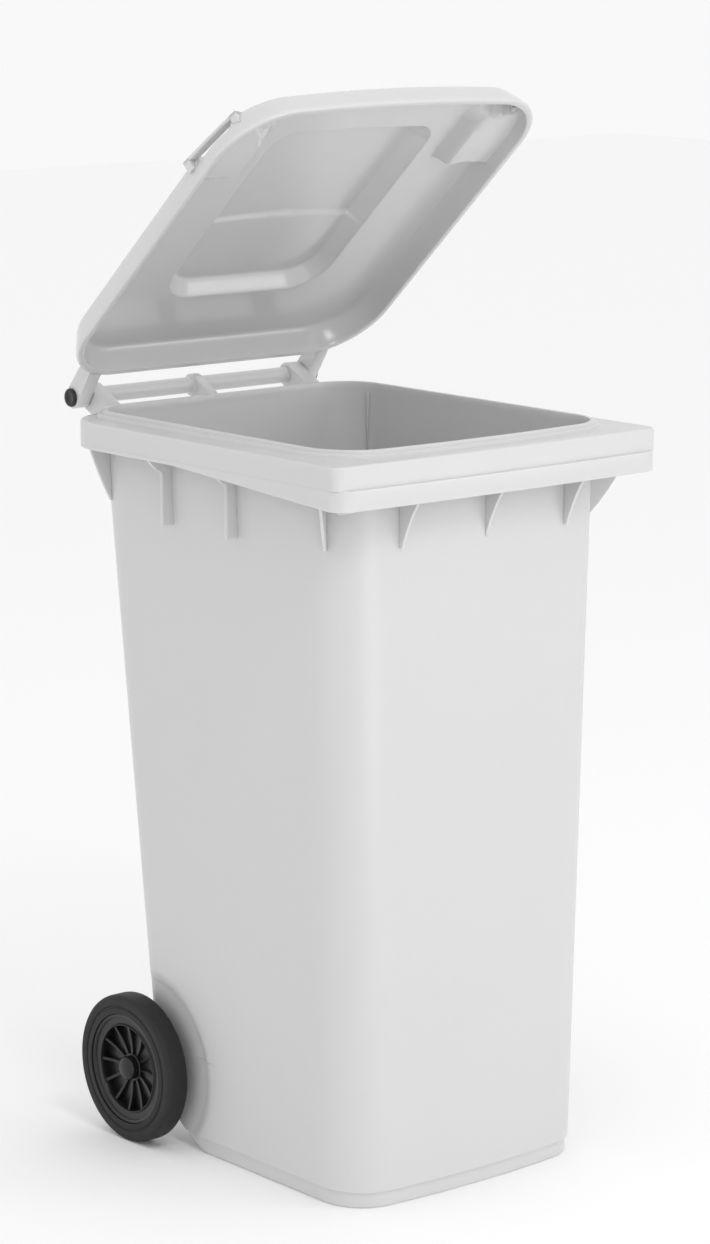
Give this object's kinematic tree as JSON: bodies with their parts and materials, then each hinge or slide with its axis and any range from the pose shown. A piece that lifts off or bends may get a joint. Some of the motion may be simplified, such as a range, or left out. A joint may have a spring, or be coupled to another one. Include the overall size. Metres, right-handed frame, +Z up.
{
  "type": "wheelie bin",
  "caption": "Tall tapered two-wheeled waste bin with a comb rim, a hinged domed lid with side grips and a rear handle bar.",
  "frame": {"origin": "on the floor, under the middle of the bin's foot, in its left-right symmetry plane", "axes": "+Z up, front of the bin towards -Y, wheels and lid hinge towards +Y, +X to the right as seen from the front"},
  "size_m": [0.565, 0.6869, 1.4707],
  "materials": {
    "body_plastic": "light grey moulded polyethylene, slight sheen",
    "lid_plastic": "light grey moulded polyethylene, smooth",
    "pin_plastic": "black moulded plastic",
    "wheel_plastic": "black moulded plastic",
    "tyre_rubber": "black rubber",
    "axle_steel": "zinc-plated round bar",
    "ring_steel": "blackened spring steel"
  },
  "bodies": {
    "bin": {"bin_body": "body_plastic", "axle": "axle_steel", "hinge_pin_right": "pin_plastic", "hinge_pin_left": "pin_plastic", "washer_right": "pin_plastic", "washer_left": "pin_plastic", "push_nut_right": "ring_steel", "push_nut_left": "ring_steel", "axle_cap_right": "wheel_plastic", "axle_cap_left": "wheel_plastic"},
    "lid": {"lid": "lid_plastic"},
    "wheel_right": {"wheel_core_right": "wheel_plastic", "tyre_right": "tyre_rubber"},
    "wheel_left": {"wheel_core_left": "wheel_plastic", "tyre_left": "tyre_rubber"}
  },
  "joints": [
    {"name": "lid_hinge", "type": "hinge", "parent": "bin", "child": "lid", "pos_m": [0, 0.369, 1.033], "axis": [-1, 0, 0], "range_deg": [-42, 225]},
    {"name": "wheel_right_spin", "type": "hinge", "parent": "bin", "child": "wheel_right", "pos_m": [0.237, 0.203, 0.105], "axis": [1, 0, 0], "continuous": true},
    {"name": "wheel_left_spin", "type": "hinge", "parent": "bin", "child": "wheel_left", "pos_m": [-0.237, 0.203, 0.105], "axis": [1, 0, 0], "continuous": true}
  ]
}
